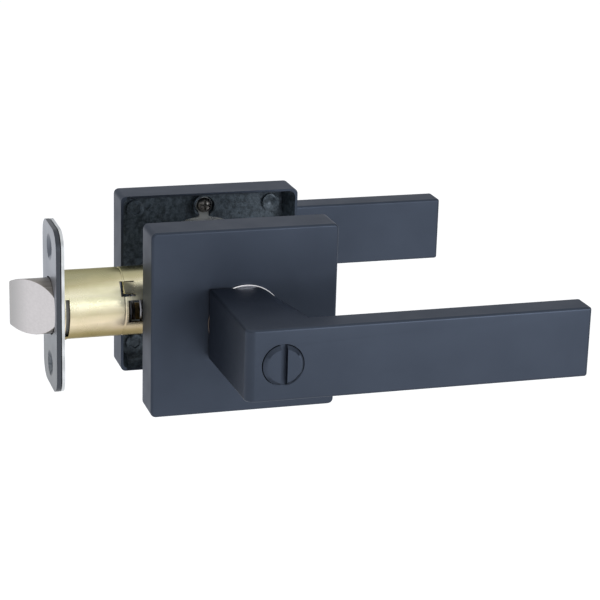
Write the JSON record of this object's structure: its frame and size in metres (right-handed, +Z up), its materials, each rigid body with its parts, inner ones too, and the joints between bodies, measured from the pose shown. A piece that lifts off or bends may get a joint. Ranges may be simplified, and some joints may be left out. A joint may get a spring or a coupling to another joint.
{
  "type": "door lever handle",
  "caption": "Privacy door lever set: square roses with flat bar levers, turn button, square spindle and tubular spring latch.",
  "frame": {"origin": "on the spindle axis, halfway through the door's thickness", "axes": "+X towards the lever ends, away from the latch bolt; -Y out of the door on the turn-button side; +Z up"},
  "size_m": [0.178, 0.1523, 0.064],
  "materials": {
    "satin_black": "satin black powder coat with a cool cast",
    "dark_nickel": "dark nickel plate with black edges",
    "satin_nickel": "satin",
    "yellow_zinc": "yellow passivated zinc plate",
    "bright_zinc": "bright zinc plate",
    "spring_steel": "oiled",
    "dark_bronze": "dark bronze plate",
    "grey_nylon": "moulded"
  },
  "bodies": {
    "chassis": {"front_rosette": "satin_black", "rear_rosette": "satin_black", "front_spring_housing": "bright_zinc", "rear_spring_housing": "bright_zinc", "front_bearing_ring": "satin_nickel", "rear_bearing_ring": "satin_nickel", "front_return_spring": "spring_steel", "rear_return_spring": "spring_steel", "rear_plate_screw_top": "dark_bronze", "rear_plate_screw_bottom": "dark_bronze", "cover_clip_top": "spring_steel", "cover_clip_bottom": "spring_steel", "through_bolt_left": "bright_zinc", "through_bolt_right": "bright_zinc", "threaded_post_left": "bright_zinc", "threaded_post_right": "bright_zinc", "latch_faceplate": "dark_nickel", "latch_backplate": "bright_zinc", "latch_tube": "yellow_zinc", "bolt_guide": "grey_nylon", "latch_frame": "yellow_zinc", "latch_spring": "spring_steel"},
    "front_lever": {"front_lever": "satin_black", "front_drive_hub": "bright_zinc", "front_spring_cam": "bright_zinc", "front_retaining_ring": "spring_steel", "front_lever_set_screw": "spring_steel"},
    "rear_lever": {"rear_lever": "satin_black", "rear_drive_hub": "bright_zinc", "rear_spring_cam": "bright_zinc", "rear_retaining_ring": "spring_steel", "rear_lever_set_screw": "spring_steel", "spindle": "bright_zinc"},
    "turn_button": {"turn_button": "satin_black", "lock_bar": "spring_steel", "lock_cam": "bright_zinc", "button_retaining_clip": "spring_steel"},
    "latch_hub": {"latch_hub": "bright_zinc"},
    "latch_bolt": {"latch_bolt": "satin_nickel", "draw_yoke": "bright_zinc"}
  },
  "joints": [
    {"name": "front_lever_turn", "type": "hinge", "parent": "chassis", "child": "front_lever", "pos_m": [0, 0, 0], "axis": [0, 1, 0], "range_deg": [0, 45], "stiffness_Nm_per_rad": 0.5, "springref_deg": -40.11},
    {"name": "rear_lever_turn", "type": "hinge", "parent": "chassis", "child": "rear_lever", "pos_m": [0, 0, 0], "axis": [0, 1, 0], "range_deg": [0, 45], "stiffness_Nm_per_rad": 0.5, "springref_deg": -40.11},
    {"name": "turn_button_turn", "type": "hinge", "parent": "front_lever", "child": "turn_button", "pos_m": [0, 0, 0], "axis": [0, 1, 0], "range_deg": [0, 90]},
    {"name": "latch_hub_turn", "type": "hinge", "parent": "chassis", "child": "latch_hub", "pos_m": [0, 0, 0], "axis": [0, 1, 0], "range_deg": [0, 45]},
    {"name": "latch_bolt_slide", "type": "slide", "parent": "chassis", "child": "latch_bolt", "axis": [1, 0, 0], "range_m": [0, 0.0127], "stiffness_N_per_m": 250, "springref_m": -0.02, "deforming": ["latch_spring"]}
  ],
  "couplings": [
    {"joint": "rear_lever_turn", "follows": "front_lever_turn", "ratio": 1},
    {"joint": "latch_hub_turn", "follows": "front_lever_turn", "ratio": 1},
    {"joint": "latch_bolt_slide", "follows": "front_lever_turn", "m_per_rad": 0.0161}
  ]
}
